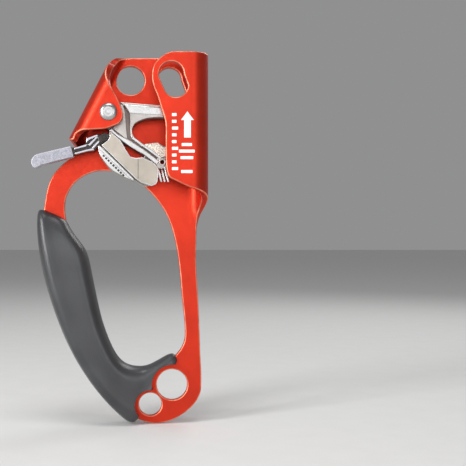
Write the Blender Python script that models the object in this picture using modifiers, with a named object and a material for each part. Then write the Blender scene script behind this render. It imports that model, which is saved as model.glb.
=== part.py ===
"""A rope ascender: a folded plate, a toothed cam, a safety catch with a thumb lever, and a moulded hand grip.

Sizes below are millimetres, and MM turns them into metres. +Z runs up along the rope, +X to the right and -Y to
the front. The origin is on the rope's axis, at the height where the cam bites.
"""

import math

import bmesh
import bpy
from mathutils import Matrix, Vector

MM = 0.001
GAP = 0.3  # between pieces that touch on the real object

# The plate and its two folds. A fold's radius is that of the sheet's middle.
PLATE = 3.6
BACK_Y = 8.55
CHANNEL_R = BACK_Y
EDGE_R = 6.8
EDGE_WEB = 2 * (BACK_Y - EDGE_R)
CHANNEL_OUT = CHANNEL_R + PLATE / 2
EDGE_OUT = EDGE_R + PLATE / 2
BACK_FRONT = BACK_Y - PLATE / 2
BACK_REAR = BACK_Y + PLATE / 2
TOP_Z = 56.6
EDGE_POINT = Vector((-42.3, 50.1))  # a point on the slanted fold's outermost line
EDGE_DOWN = Vector((-0.460, -0.888)).normalized()
EDGE_OUTWARD = Vector((EDGE_DOWN.y, -EDGE_DOWN.x))
CHANNEL_FADE = (-38.0, -20.0)  # heights between which the rope channel flattens into the limb
EDGE_FADE = (6.0, 14.0)
BEND_STEP = math.radians(18)

# The axes of the moving parts, as (X, Z).
CAM_AXIS = (-41.0, 26.0)
CATCH_AXIS = (-21.5, -3.5)
LEVER_RIVET = (-43.2, 13.9)
TAB_PIN = (-63.2, 5.2)

# Holes, as (X, Z, radius).
TOP_HOLE = (-29.6, 44.8, 7.5)
SLOT_LOBES = ((-9.2, 45.2, 6.3), (-6.9, 39.5, 6.1))
LARGE_EYE = (-7.8, -114.5, 8.0)
SMALL_EYE = (-19.2, -124.8, 5.9)

# Depths from front to rear, as (front Y, rear Y).
CAM_DEPTH = (-4.4, 5.0)
FRONT_CHEEK = (-6.2, -4.9)
REAR_CHEEK = (5.35, 6.35)
LEVER_DEPTH = (-4.3, 4.7)
TAB_DEPTH = (-5.0, 3.4)

RIVET_R = 3.0
BUSH_R = 4.2
HUB_R = 6.9
CAM_BORE_R = BUSH_R + GAP
SPRING_R = 5.0
SPRING_WIRE = 0.5
SPRING_POCKET = 6.1
SPRING_FLOOR = -2.0
CATCH_PIN_R = 1.9
CATCH_SPRING_R = 3.2
CATCH_SPRING_WIRE = 0.4
CATCH_POCKET = (4.4, 1.6)  # radius, and Y of its floor

# The cam's gripping face is a spiral about the cam's axis.
CAM_R0 = 40.6
CAM_RISE = 0.249
CAM_FACE = (-4.0, 48.0)  # degrees below the horizontal
TOOTH_ROWS = 13
TOOTH_COLUMNS = (-3.0, -1.0, 1.6, 3.6)
TOOTH_R = 0.9
TOOTH_H = 1.3

RED = ("anodised_red", (0.62, 0.06, 0.02), 0.35, 0.8)
STEEL = ("cast_steel", (0.62, 0.60, 0.57), 0.35, 1.0)
CHROME = ("polished_steel", (0.50, 0.50, 0.52), 0.15, 1.0)
BRIGHT = ("bright_steel", (0.75, 0.75, 0.76), 0.22, 1.0)
RUBBER = ("grip_rubber", (0.035, 0.035, 0.037), 0.55, 0.0)
GREY = ("tab_grey", (0.42, 0.42, 0.46), 0.5, 0.0)
BRONZE = ("bush_bronze", (0.45, 0.30, 0.14), 0.4, 1.0)


def clear_scene():
    for obj in list(bpy.data.objects):
        bpy.data.objects.remove(obj)


def collection(name, rendered=True):
    made = bpy.data.collections.new(name)
    bpy.context.scene.collection.children.link(made)
    made.hide_render = not rendered
    return made


def material(name, colour, roughness, metallic):
    if name in bpy.data.materials:
        return bpy.data.materials[name]
    made = bpy.data.materials.new(name)
    made.use_nodes = True
    shader = made.node_tree.nodes["Principled BSDF"]
    shader.inputs["Base Color"].default_value = (*colour, 1.0)
    shader.inputs["Roughness"].default_value = roughness
    shader.inputs["Metallic"].default_value = metallic
    return made


def add_object(name, bm, look, axis=(0.0, 0.0)):
    """An object from a bmesh in millimetres, with its origin on the axis that runs through (X, Z)."""
    bmesh.ops.recalc_face_normals(bm, faces=bm.faces)
    origin = Vector((axis[0], 0.0, axis[1]))
    bmesh.ops.transform(bm, matrix=Matrix.Scale(MM, 4) @ Matrix.Translation(-origin), verts=bm.verts)
    mesh = bpy.data.meshes.new(name)
    bm.to_mesh(mesh)
    bm.free()
    obj = bpy.data.objects.new(name, mesh)
    obj.location = origin * MM
    if look:
        mesh.materials.append(material(*look))
    mesh.shade_smooth()
    mesh.set_sharp_from_angle(angle=math.radians(30))
    PARTS.objects.link(obj)
    return obj


def as_cutter(obj):
    PARTS.objects.unlink(obj)
    CUTTERS.objects.link(obj)
    obj.hide_render = True
    obj.display_type = "WIRE"
    return obj


def boolean(obj, other, operation="DIFFERENCE"):
    modifier = obj.modifiers.new(other.name, "BOOLEAN")
    modifier.operation = operation
    modifier.object = as_cutter(other) if other.name in PARTS.objects else other


def prism(outline, depth):
    """A closed outline of (X, Z) points, extruded from the front Y to the rear Y."""
    bm = bmesh.new()
    face = bm.faces.new([bm.verts.new((x, depth[0], z)) for x, z in outline])
    made = bmesh.ops.extrude_face_region(bm, geom=[face])
    moved = [v for v in made["geom"] if isinstance(v, bmesh.types.BMVert)]
    bmesh.ops.translate(bm, verts=moved, vec=(0, depth[1] - depth[0], 0))
    return bm


def drill(obj, hole, depth, sides=40):
    """Cuts a round hole (X, Z, radius) through an object along Y."""
    x, z, radius = hole
    name = f"{obj.name}_drill_{len(obj.modifiers)}"
    boolean(obj, add_object(name, prism(circle((x, z), radius, 0, 360, sides)[:-1], depth), None))


def circle(centre, radius, start, end, steps):
    """Points on an arc, from start to end in degrees, counter-clockwise from +X."""
    angles = [math.radians(start + (end - start) * i / steps) for i in range(steps + 1)]
    return [(centre[0] + radius * math.cos(a), centre[1] + radius * math.sin(a)) for a in angles]


def smooth(points, steps=4, closed=False):
    """A Catmull-Rom curve through the points."""
    count = len(points)
    made = []
    for i in range(count if closed else count - 1):
        if closed:
            four = [Vector(points[(i + k) % count]) for k in (-1, 0, 1, 2)]
        else:
            four = [Vector(points[min(max(i + k, 0), count - 1)]) for k in (-1, 0, 1, 2)]
        a, b, c, d = four
        for step in range(steps):
            t = step / steps
            bend = (2 * a - 5 * b + 4 * c - d) * t * t + (3 * b - a - 3 * c + d) * t**3
            made.append(tuple(b + 0.5 * ((c - a) * t + bend)))
    return made if closed else made + [tuple(points[-1])]


def turned(name, centre, profile, look, sides=32):
    """A turned piece about the Y line through (X, Z). The profile is (radius, Y), front to rear on the outside."""
    bm = bmesh.new()
    verts = [bm.verts.new((radius * MM, 0, -y * MM)) for radius, y in profile]
    for a, b in zip(verts, verts[1:]):
        bm.edges.new((a, b))
    mesh = bpy.data.meshes.new(name)
    bm.to_mesh(mesh)
    bm.free()
    obj = bpy.data.objects.new(name, mesh)
    obj.location = (centre[0] * MM, 0, centre[1] * MM)
    obj.rotation_euler = (math.pi / 2, 0, 0)
    mesh.materials.append(material(*look))
    screw = obj.modifiers.new("turn", "SCREW")
    screw.steps = screw.render_steps = sides
    screw.use_merge_vertices = True
    screw.merge_threshold = 1e-5
    screw.use_smooth_shade = True
    PARTS.objects.link(obj)
    return obj


def wire(name, centre, points, radius, look):
    """A wire of (X, Y, Z) points about the Y line through the centre."""
    curve = bpy.data.curves.new(name, "CURVE")
    curve.dimensions = "3D"
    curve.bevel_depth = radius * MM
    curve.bevel_resolution = 2
    curve.use_fill_caps = True
    spline = curve.splines.new("POLY")
    spline.points.add(len(points) - 1)
    for target, point in zip(spline.points, points):
        target.co = (*(Vector(point) * MM), 1.0)
    obj = bpy.data.objects.new(name, curve)
    obj.location = (centre[0] * MM, 0, centre[1] * MM)
    curve.materials.append(material(*look))
    PARTS.objects.link(obj)
    return obj


# --- The folded plate -------------------------------------------------------------------------------------


def fade(height, limits):
    t = min(max((height - limits[0]) / (limits[1] - limits[0]), 0.0), 1.0)
    return t * t * (3 - 2 * t)


def past_edge(point):
    """How far a point of the flat sheet lies past the line where the slanted fold begins."""
    return (Vector(point) - EDGE_POINT).dot(EDGE_OUTWARD) + EDGE_OUT


def fold_channel(u, w, v):
    angle = min(u / CHANNEL_R, math.pi)
    beyond = max(u - math.pi * CHANNEL_R, 0.0)
    reach = CHANNEL_R + v
    return Vector((reach * math.sin(angle) - beyond, reach * math.cos(angle), w))


def fold_edge(u, w, v, s):
    reach = EDGE_R + v
    quarter = EDGE_R * math.pi / 2
    first = min(s, quarter) / EDGE_R
    web = min(max(s - quarter, 0.0), EDGE_WEB)
    second = min(max(s - quarter - EDGE_WEB, 0.0), quarter) / EDGE_R
    beyond = max(s - 2 * quarter - EDGE_WEB, 0.0)
    out = reach * (math.sin(first) * math.cos(second)) - beyond
    y = BACK_Y - EDGE_R + reach * (math.cos(first) - math.sin(second)) - web
    base = Vector((u, w)) + (out - s) * EDGE_OUTWARD
    return Vector((base.x, y, base.y))


def folded(u, w, v):
    """Where the flat sheet's point (u, w), v behind its middle, lies once both folds are made."""
    flat = Vector((u, BACK_Y + v, w))
    if u > 0:
        return flat.lerp(fold_channel(u, w, v), fade(w, CHANNEL_FADE))
    s = past_edge((u, w))
    if s > 0:
        return flat.lerp(fold_edge(u, w, v, s), fade(w, EDGE_FADE))
    return flat


def channel_flap(x, z):
    """The flat sheet's point that ends up at (X, Z) on the front of the rope channel."""
    if x <= 0:
        return (math.pi * CHANNEL_R - x, z)
    return (CHANNEL_R * (math.pi - math.asin(min(x / CHANNEL_OUT, 1.0))), z)


def edge_flap(x, z):
    """The flat sheet's point that ends up at (X, Z) on the front of the slanted fold."""
    inside = (EDGE_POINT - Vector((x, z))).dot(EDGE_OUTWARD)
    turn = math.acos(max(1 - inside / EDGE_OUT, 0.0))
    s = EDGE_R * (math.pi / 2 + turn) + EDGE_WEB + max(inside - EDGE_OUT, 0.0)
    return tuple(Vector((x, z)) + (inside - EDGE_OUT + s) * EDGE_OUTWARD)


def plate_outline():
    """The flat sheet's outline, from the channel's top edge round by the left, in (u, w)."""
    flap_side = [(-12.3, 21), (-14.6, 29), (-16.2, 34), (-18.2, 39), (-19.0, 44), (-18.2, 49.2), (-15.4, 53)]
    flap_foot = [(-7.4, -8.4), (-10.2, -6.8), (-11.5, -3.4), (-12.0, 2), (-12.1, 12)]
    channel = [channel_flap(x, z) for x, z in flap_foot + flap_side + [(-11.0, 55.9), (-6.0, TOP_Z)]]
    edge_side = [(-42.5, 46.6), (-40.4, 39.8), (-37.4, 34.6), (-34.6, 28.6), (-33.6, 24), (-35.4, 20.5), (-39, 18.8)]
    edge_foot = [(-43, 17.5), (-49, 17.1), (-54.6, 16.8), (-57.8, 15.2), (-59.4, 12.4)]
    edge = [edge_flap(x, z) for x, z in edge_side + edge_foot]
    shoulder = [(-14.0, TOP_Z), (-34.0, TOP_Z), (-38.6, 55.9), (-42.4, 54.6), (-46.6, 54.2)]
    limb = [(-60.0, 8.0), (-59.3, 5.0), (-63.2, 2.8), (-69.2, -3.2), (-72.6, -10), (-74.3, -18), (-75.4, -28)]
    under_grip = [(-74.8, -45), (-72.6, -59), (-66.6, -77), (-58, -97), (-46, -115), (-34, -127.5), (-26, -132.4)]
    foot = [(-17, -134.8), (-7, -132.7), (2, -126.7), (6.8, -119.6), (7.6, -111), (7, -97), (6.2, -75)]
    side = [(4.9, -53), (4.9, -42), (5.3, -32), (6.8, -25.8), (9.4, -22), (13.4, -18), (18, -15.3), (22.6, -13.4)]
    foot_of_flap = [channel_flap(0.5, -12.0), channel_flap(-3.4, -10.4)]
    return smooth(shoulder + edge + limb + under_grip + foot + side + foot_of_flap + channel, 3, closed=True)


def hand_opening():
    top = [(-50, -3.3), (-44, -2.4), (-37, -3.2), (-28, -6.7), (-20, -12.8), (-12.2, -22.6), (-7.4, -34)]
    right = [(-4.4, -49), (-2.6, -68), (-0.9, -86), (-2.2, -94), (-7, -100.3)]
    bottom = [(-13, -104), (-20, -106.6), (-29, -107), (-36, -103.6), (-41, -96), (-46, -85), (-50.4, -70)]
    left = [(-54.6, -53), (-60.4, -38), (-63.6, -27), (-63.7, -18), (-61, -11.5), (-56.4, -6.6)]
    return smooth(top + right + bottom + left, 3, closed=True)


def bend_cuts():
    """Lines of the flat sheet, as (point, normal), that split it where it bends."""
    made = []
    for i in range(round(math.pi / BEND_STEP) + 1):
        made.append((Vector((i * BEND_STEP * CHANNEL_R, 0)), Vector((1, 0))))
    quarter = EDGE_R * math.pi / 2
    start = EDGE_POINT - EDGE_OUTWARD * EDGE_OUT
    for i in range(round(math.pi / 2 / BEND_STEP) + 1):
        s = i * BEND_STEP * EDGE_R
        made.append((start + EDGE_OUTWARD * s, EDGE_OUTWARD))
        made.append((start + EDGE_OUTWARD * (quarter + EDGE_WEB + s), EDGE_OUTWARD))
    for low, high in (CHANNEL_FADE, EDGE_FADE):
        steps = round((high - low) / 3)
        made += [(Vector((0, low + (high - low) * i / steps)), Vector((0, 1))) for i in range(steps + 1)]
    return made


def folded_sheet(outline, half):
    bm = prism(outline, (-half, half))
    for point, normal in bend_cuts():
        plane = {"plane_co": (point.x, 0, point.y), "plane_no": (normal.x, 0, normal.y)}
        bmesh.ops.bisect_plane(bm, geom=bm.verts[:] + bm.edges[:] + bm.faces[:], dist=1e-4, **plane)
    bmesh.ops.triangulate(bm, faces=bm.faces)
    for vert in bm.verts:
        vert.co = folded(vert.co.x, vert.co.z, vert.co.y)
    return bm


def slot_outline():
    upper, lower = SLOT_LOBES
    return circle(upper[:2], upper[2], 0, 200, 14) + circle(lower[:2], lower[2], 200, 360, 14)


def frame_plate():
    plate = add_object("frame_plate", folded_sheet(plate_outline(), PLATE / 2), RED)
    boolean(plate, add_object("opening_cut", prism(hand_opening(), (4, 13)), None))
    boolean(plate, add_object("slot_cut", prism(slot_outline(), (-13, 13)), None))
    drill(plate, TOP_HOLE, (4, 13))
    drill(plate, LARGE_EYE, (4, 13))
    drill(plate, SMALL_EYE, (4, 13))
    drill(plate, (*CAM_AXIS, RIVET_R + GAP), (-13, 13), 24)
    return plate


# --- The grip ---------------------------------------------------------------------------------------------


def grip_stations():
    """(outer X, Z, inner X, Z, half thickness) down the limb and round its foot."""
    limb = [(-75.8, -23.4, -64.2, -27.6, 4.6), (-77.6, -26.2, -62.3, -31, 8.6), (-78.6, -32, -59.8, -34.6, 11)]
    limb += [(-78, -40, -56, -39.4, 12.2), (-76.9, -48, -51.8, -45, 12.6), (-74.6, -60, -49.8, -55.6, 12.6)]
    limb += [(-70.6, -72.6, -47.4, -67.5, 12.6), (-65.4, -87, -44.6, -80.6, 12.6)]
    limb += [(-58.6, -101, -41, -90.4, 12.6), (-50.4, -113.6, -37.4, -98.4, 12.4)]
    foot = [(-42.6, -123.2, -33.2, -103.2, 11.6), (-34.8, -130.6, -28.4, -104.8, 10.4)]
    foot += [(-29, -134.6, -24.4, -104.9, 9), (-27.4, -127, -21.6, -104.6, 7.8), (-25, -119.4, -19, -103.9, 7)]
    foot += [(-19.4, -114.6, -16, -102.4, 6.6), (-16.6, -107.4, -12.8, -100.3, 6.2), (-9.6, -103.9, -9.4, -98, 4.4)]
    return limb + foot


def grip_section(station, sides):
    ox, oz, ix, iz, half = station
    outer = Vector((ox, BACK_Y, oz))
    inner = Vector((ix, BACK_Y, iz))
    middle = (outer + inner) / 2
    across = (outer - inner) / 2
    made = []
    for i in range(sides):
        c = math.cos(2 * math.pi * i / sides)
        s = math.sin(2 * math.pi * i / sides)
        squarer = (abs(c) ** 2.4 + abs(s) ** 2.4) ** (-1 / 2.4)
        made.append(middle + across * c * squarer + Vector((0, half * s * squarer, 0)))
    return made


def grip_overmould(plate_cutter):
    bm = bmesh.new()
    rings = []
    for station in grip_stations():
        rings.append([bm.verts.new(p) for p in grip_section(station, 16)])
    for a, b in zip(rings, rings[1:]):
        for i in range(len(a)):
            bm.faces.new((a[i], a[(i + 1) % len(a)], b[(i + 1) % len(a)], b[i]))
    bm.faces.new(rings[0])
    bm.faces.new(rings[-1])
    grip = add_object("grip_overmould", bm, RUBBER)
    soften = grip.modifiers.new("soften", "SUBSURF")
    soften.levels = soften.render_levels = 1
    boolean(grip, plate_cutter)
    return grip


def moved_out(outline, distance):
    """A closed outline, each point moved along its own normal, to the right of its direction."""
    made = []
    count = len(outline)
    for i in range(count):
        along = Vector(outline[(i + 1) % count]) - Vector(outline[i - 1])
        normal = Vector((along.y, -along.x)).normalized()
        made.append(tuple(Vector(outline[i]) + normal * distance))
    return made


def limb_cutter():
    """The plate's limb, larger by the gap all round, which the grip is moulded over."""
    bm = prism(moved_out(plate_outline(), GAP), (BACK_FRONT - GAP, BACK_REAR + GAP))
    cutter = as_cutter(add_object("limb_cut", bm, None))
    opening = moved_out(hand_opening(), GAP)
    boolean(cutter, add_object("limb_cut_opening", prism(opening, (0, 20)), None))
    return cutter


# --- The cam ----------------------------------------------------------------------------------------------


def cam_face(degrees):
    """A point on the gripping spiral, degrees below the horizontal."""
    a = math.radians(degrees)
    reach = CAM_R0 * math.exp(CAM_RISE * a)
    return (CAM_AXIS[0] + reach * math.cos(a), CAM_AXIS[1] - reach * math.sin(a))


def cam_outline():
    hub = circle(CAM_AXIS, HUB_R, 48, 262, 18)
    rim = smooth([(-37.4, 15.6), (-33, 11.8), (-28, 7.8), (-25.2, 3.6), (-26, -1.2)], 2)
    boss = circle(CATCH_AXIS, 4.7, 185, 290, 7)
    steps = 16
    face = [cam_face(CAM_FACE[1] + (CAM_FACE[0] - CAM_FACE[1]) * i / steps) for i in range(steps + 1)]
    return hub + rim + boss + [(-15.5, -10.4)] + face + [(-15, 30.1)]


def cam_window():
    left = [(-17, 11.4), (-20, 10.7), (-23.6, 10.5), (-27, 13), (-29, 17), (-27.2, 21), (-22.5, 23.2), (-17, 24)]
    return smooth(left, 3) + [(-12, 24), (-10.8, 22.4), (-10.6, 11.4), (-12, 9.4)]


def tooth(bm, degrees, y):
    """One spike of the gripping face, leaning down the rope."""
    base = Vector((*cam_face(degrees), 0)).xzy + Vector((0, y, 0))
    out = (base - Vector((CAM_AXIS[0], y, CAM_AXIS[1]))).normalized()
    lean = (out + Vector((0, 0, -0.55))).normalized()
    turn = lean.to_track_quat("Z", "Y").to_matrix().to_4x4()
    place = Matrix.Translation(base + lean * (TOOTH_H / 2 - 0.5)) @ turn
    sizes = {"radius1": TOOTH_R, "radius2": 0.15, "depth": TOOTH_H + 1.0}
    bmesh.ops.create_cone(bm, cap_ends=True, segments=8, matrix=place, **sizes)


def cam():
    body = add_object("cam", prism(cam_outline(), CAM_DEPTH), STEEL, CAM_AXIS)
    boolean(body, add_object("cam_window_cut", prism(cam_window(), (-9, 9)), None))
    drill(body, (*CAM_AXIS, CAM_BORE_R), (-9, 9), 32)
    drill(body, (*CAM_AXIS, SPRING_POCKET), (-9, SPRING_FLOOR), 40)
    drill(body, (*CATCH_AXIS, CATCH_PIN_R + GAP), (-9, 9), 24)
    drill(body, (*CATCH_AXIS, CATCH_POCKET[0]), (CATCH_POCKET[1], 9), 32)
    bm = bmesh.new()
    for row in range(TOOTH_ROWS):
        share = (row + 0.75) / (TOOTH_ROWS + 0.5)
        degrees = CAM_FACE[0] + (CAM_FACE[1] - CAM_FACE[0]) * share
        for y in TOOTH_COLUMNS:
            tooth(bm, degrees, y + 0.3)
    boolean(body, add_object("cam_teeth_join", bm, None), "UNION")
    return body


def cam_axle():
    head = [(0.001, -11.1), (1.6, -11.2), (2.6, -12.1), (3.6, -12.1), (4.4, -11.5), (4.5, -10.65)]
    shank = [(RIVET_R, -10.65), (RIVET_R, 11.35), (4.8, 11.35), (4.6, 12.4), (3.4, 12.9), (0.001, 12.9)]
    turned("cam_axle_rivet", CAM_AXIS, head + shank, BRIGHT)
    ring("rear_rivet_washer", CAM_AXIS, RIVET_R + GAP, 6.4, (BACK_REAR + 0.2, BACK_REAR + 0.8), BRIGHT)
    ring("cam_bush", CAM_AXIS, RIVET_R + GAP, BUSH_R, (-6.4, CAM_DEPTH[1]), BRONZE)
    ring("cam_rear_washer", CAM_AXIS, RIVET_R + GAP, 5.0, (5.35, 6.4), BRIGHT)


def ring(name, centre, inner, outer, depth, look):
    profile = [(inner, depth[0]), (outer, depth[0]), (outer, depth[1]), (inner, depth[1]), (inner, depth[0])]
    return turned(name, centre, profile, look)


def torsion_spring(name, centre, radius, wire_r, depth, legs, look):
    """A helix about the Y line through the centre. Each leg is (angle of the coil's end in degrees, reach)."""
    (start, first_reach), (end, last_reach) = legs
    per_turn = 14
    steps = round((end - start) / 360 * per_turn)
    coil = []
    for i in range(steps + 1):
        a = math.radians(start + (end - start) * i / steps)
        y = depth[0] + (depth[1] - depth[0]) * i / steps
        coil.append(Vector((radius * math.cos(a), y, radius * math.sin(a))))
    first = coil[0] + (coil[0] - coil[1]).normalized() * first_reach
    last = coil[-1] + (coil[-1] - coil[-2]).normalized() * last_reach
    return wire(name, centre, [first, *coil, last], wire_r, look)


# --- The safety catch -------------------------------------------------------------------------------------


def cheek_outline():
    top = [(-41.2, 17.0), (-34.8, 12.2), (-32.7, 8.4), (-29.8, 3.8), (-27.2, 3.1), (-23.4, 3.4)]
    lobe = circle((-21.8, -4.4), 6.4, 62, -100, 9)
    return top + lobe + [(-27.4, -7.6), (-45.2, 9.6), (-45.6, 12.6), (-44.4, 16.0)]


def catch_web_outline():
    """The folded strip that joins the two cheeks along their lower edge."""
    outer = smooth([(-28.2, -7.4), (-32.4, -7.2), (-37.2, -4.4), (-42.6, 0.8), (-45.3, 4.6), (-45.4, 9.4)], 3)
    return outer + [(-43.8, 8.2), (-27.4, -7.0)]


def catch_body():
    body = add_object("catch_body", prism(cheek_outline(), FRONT_CHEEK), BRIGHT, CATCH_AXIS)
    rear = add_object("catch_rear_join", prism(cheek_outline(), REAR_CHEEK), None)
    web = add_object("catch_web_join", prism(catch_web_outline(), (FRONT_CHEEK[0] + 0.6, REAR_CHEEK[1])), None)
    boolean(body, web, "UNION")
    boolean(body, rear, "UNION")
    drill(body, (*CATCH_AXIS, CATCH_PIN_R + GAP), (0, 9), 24)
    drill(body, (*LEVER_RIVET, 1.2 + GAP), (-9, 9), 20)
    return body


def lever_outline():
    end = circle(LEVER_RIVET, 2.4, 60, -80, 7)
    lower = [(-45.8, 10.2), (-48, 7.4), (-53.2, 6.6), (-58.2, 5.0)]
    tongue = [(-66.2, 3.2), (-66.2, 5.8), (-58.2, 7.6)]
    upper = [(-58.2, 8.6), (-54.6, 9.6), (-52.8, 12.7), (-46.6, 14.8)]
    return end + lower + tongue + upper


def catch_lever():
    lever = add_object("catch_lever", prism(lever_outline(), LEVER_DEPTH), CHROME, CATCH_AXIS)
    pocket = [(-46.4, 12.6), (-51.6, 11.2), (-53.4, 8.4), (-48.4, 9.2)]
    boolean(lever, add_object("lever_pocket_cut", prism(pocket, (-9, -1.2)), None))
    for depth in ((-9, -2.3), (2.7, 9)):
        side = [(-68, 1), (-58.5, 1), (-58.5, 10), (-68, 10)]
        boolean(lever, add_object(f"tongue_cut_{depth[0]}", prism(side, depth), None))
    drill(lever, (*LEVER_RIVET, 1.2 + GAP), (-9, 9), 20)
    drill(lever, (*TAB_PIN, 0.8 + GAP), (-9, 9), 16)
    return lever


def thumb_tab():
    end = smooth([(-76.4, 5.4), (-79.0, 4.4), (-80.5, 1.6), (-80.0, -0.9), (-78.2, -1.8), (-75.6, -0.8)], 3)
    tab = add_object("thumb_tab", prism([(-60.4, 9.4), *end, (-58.6, 4.0)], TAB_DEPTH), GREY, CATCH_AXIS)
    slot = [(-50, 9.75), (-66.6, 6.0), (-66.6, 2.8), (-50, 6.5)]
    boolean(tab, add_object("tab_slot_cut", prism(slot, (-2.6, 3.0)), None))
    drill(tab, (*TAB_PIN, 0.8 + GAP), (-9, 9), 16)
    return tab


def solid_pin(name, centre, radius, depth, look, sides=20):
    profile = [(0.001, depth[0]), (radius, depth[0]), (radius, depth[1]), (0.001, depth[1])]
    return turned(name, centre, profile, look, sides)


def catch():
    catch_body()
    catch_lever()
    thumb_tab()
    solid_pin("catch_pin", CATCH_AXIS, CATCH_PIN_R, (-4.5, 6.3), BRIGHT)
    solid_pin("lever_rivet", LEVER_RIVET, 1.2, (-6.45, 6.45), CHROME)
    solid_pin("tab_pin", TAB_PIN, 0.8, (-5.1, 3.5), BRIGHT, 16)
    legs = ((200, 1.2), (200 + 3 * 360, 1.2))
    size = (CATCH_SPRING_R, CATCH_SPRING_WIRE, (2.4, 4.7))
    torsion_spring("catch_spring", CATCH_AXIS, *size, legs, BRIGHT)


def build():
    frame_plate()
    grip_overmould(limb_cutter())
    cam()
    cam_axle()
    torsion_spring("cam_spring", CAM_AXIS, SPRING_R, SPRING_WIRE, (-6.0, -2.8), ((20, 3.0), (1130, 0.6)), BRIGHT)
    catch()


clear_scene()
PARTS = collection("rope_ascender")
CUTTERS = collection("cutters", rendered=False)
build()
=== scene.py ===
"""The looks of a rope ascender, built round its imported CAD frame. Lengths are millimetres until MM scales
them."""

import math

import bmesh
import bpy
from mathutils import Matrix, Vector
from mathutils.geometry import tessellate_polygon


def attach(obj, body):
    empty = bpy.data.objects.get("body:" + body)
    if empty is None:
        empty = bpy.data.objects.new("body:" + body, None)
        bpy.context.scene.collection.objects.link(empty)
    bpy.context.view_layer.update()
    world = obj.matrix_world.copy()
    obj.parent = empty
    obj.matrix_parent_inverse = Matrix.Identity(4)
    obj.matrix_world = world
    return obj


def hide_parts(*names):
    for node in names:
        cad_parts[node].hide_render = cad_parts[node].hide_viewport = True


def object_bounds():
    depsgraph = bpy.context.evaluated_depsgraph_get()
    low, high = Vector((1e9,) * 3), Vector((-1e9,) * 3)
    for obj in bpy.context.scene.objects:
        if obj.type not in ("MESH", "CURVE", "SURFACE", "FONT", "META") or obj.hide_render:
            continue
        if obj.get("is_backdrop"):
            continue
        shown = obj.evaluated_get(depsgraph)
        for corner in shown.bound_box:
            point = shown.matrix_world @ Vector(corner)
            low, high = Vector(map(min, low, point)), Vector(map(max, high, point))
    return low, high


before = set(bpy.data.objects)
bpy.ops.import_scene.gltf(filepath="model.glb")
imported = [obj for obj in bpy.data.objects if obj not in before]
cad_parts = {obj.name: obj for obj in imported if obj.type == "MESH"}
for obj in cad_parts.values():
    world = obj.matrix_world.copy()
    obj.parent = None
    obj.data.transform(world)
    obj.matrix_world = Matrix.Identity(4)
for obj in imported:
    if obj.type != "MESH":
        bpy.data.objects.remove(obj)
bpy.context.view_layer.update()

MM = 0.001

# The sheet and its two folds, as the frame has them.
PLATE = 3.6
HALF = PLATE / 2
BACK_Y = 8.55
CHANNEL_R = BACK_Y
EDGE_R = 6.8
EDGE_WEB = 2 * (BACK_Y - EDGE_R)
CHANNEL_OUT = CHANNEL_R + HALF
EDGE_OUT = EDGE_R + HALF
TOP_Z = 56.6
EDGE_POINT = Vector((-42.3, 50.1))
EDGE_DOWN = Vector((-0.460, -0.888)).normalized()
EDGE_OUTWARD = Vector((EDGE_DOWN.y, -EDGE_DOWN.x))
CHANNEL_FADE = (-38.0, -20.0)
EDGE_FADE = (4.5, 11.0)
BEND_STEP = math.radians(6)
FADE_STEP = 0.8
EDGE_ROUND = 0.7
EDGE_TURN = 0.60  # how steeply the foot of the slanted fold turns in, below the height after it
EDGE_TURN_Z = 15.8

# The axes of the moving parts, as (X, Z), and the holes, as (X, Z, radius).
CAM_AXIS = (-41.0, 26.0)
CATCH_AXIS = (-21.5, -3.5)
LEVER_RIVET = (-43.2, 13.9)
TAB_PIN = (-63.2, 5.2)
TOP_HOLE = (-29.6, 44.8, 7.5)
SLOT_LOBES = ((-9.2, 45.2, 6.3), (-6.9, 39.5, 6.1))
LARGE_EYE = (-7.8, -114.5, 8.0)
SMALL_EYE = (-19.2, -124.8, 5.9)
RIVET_R = 3.0
RIVET_GAP = 0.2

# The cam. Its gripping face is a spiral about the cam's axis, and what stands out from it starts at CAM_ROOT.
CAM_R0 = 40.6
CAM_RISE = 0.249
CAM_FACE = (-4.0, 42.0)  # degrees below the horizontal
CAM_WEB = (-2.0, 5.0)  # from its front Y to its rear Y
CAM_ROOT = -1.8
CAM_BORE_R = 4.5
HUB_R = 6.9
CATCH_BORE_R = 2.1
PAD_HOLE = (-13.4, 1.2)
PAD_HOLE_R = 1.0
TOOTH_ROWS = 14
TOOTH_COLUMNS = (-3.1, -1.1, 0.9, 2.9)
TOOTH_SHIFT = 0.6

# The catch. The flange is the strip along its lower edge, from start to end.
FLANGE_START = Vector((-44.7, 9.7))
FLANGE_END = Vector((-27.4, -7.3))
CHEEK_REAR = -4.9
REAR_CHEEK = (5.35, 6.35)
FACE_SPLIT = -25.9  # X of the line that parts the face's two levels
DASHES = 9
DASH_START = 4.2
DASH_STEP = 1.75
DASH_LENGTH = 1.15

GRIP_CLEAR = (10.9, 8.3)  # how far the grip keeps from the middle of each eye
SHARP = math.radians(35)

# The view: a camera straight in front of the object's middle, which sits left of the picture's middle.
CAMERA_TARGET = (-35.1, -37.15)
CAMERA_DISTANCE = 440.0
PICTURE_WIDTH = 240.5  # mm across the picture at the rope's axis
PICTURE_SHIFT = (0.2425, 0.0086)

# The materials' finest detail: noise scales, and how deep the grain is, in metres.
WEAR_AND_HIGHLIGHT_SCALE = 240
GLOSS_SCALE = 420
GRAIN_DEPTH = 0.0002


# --- Materials --------------------------------------------------------------------------------------------


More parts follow.
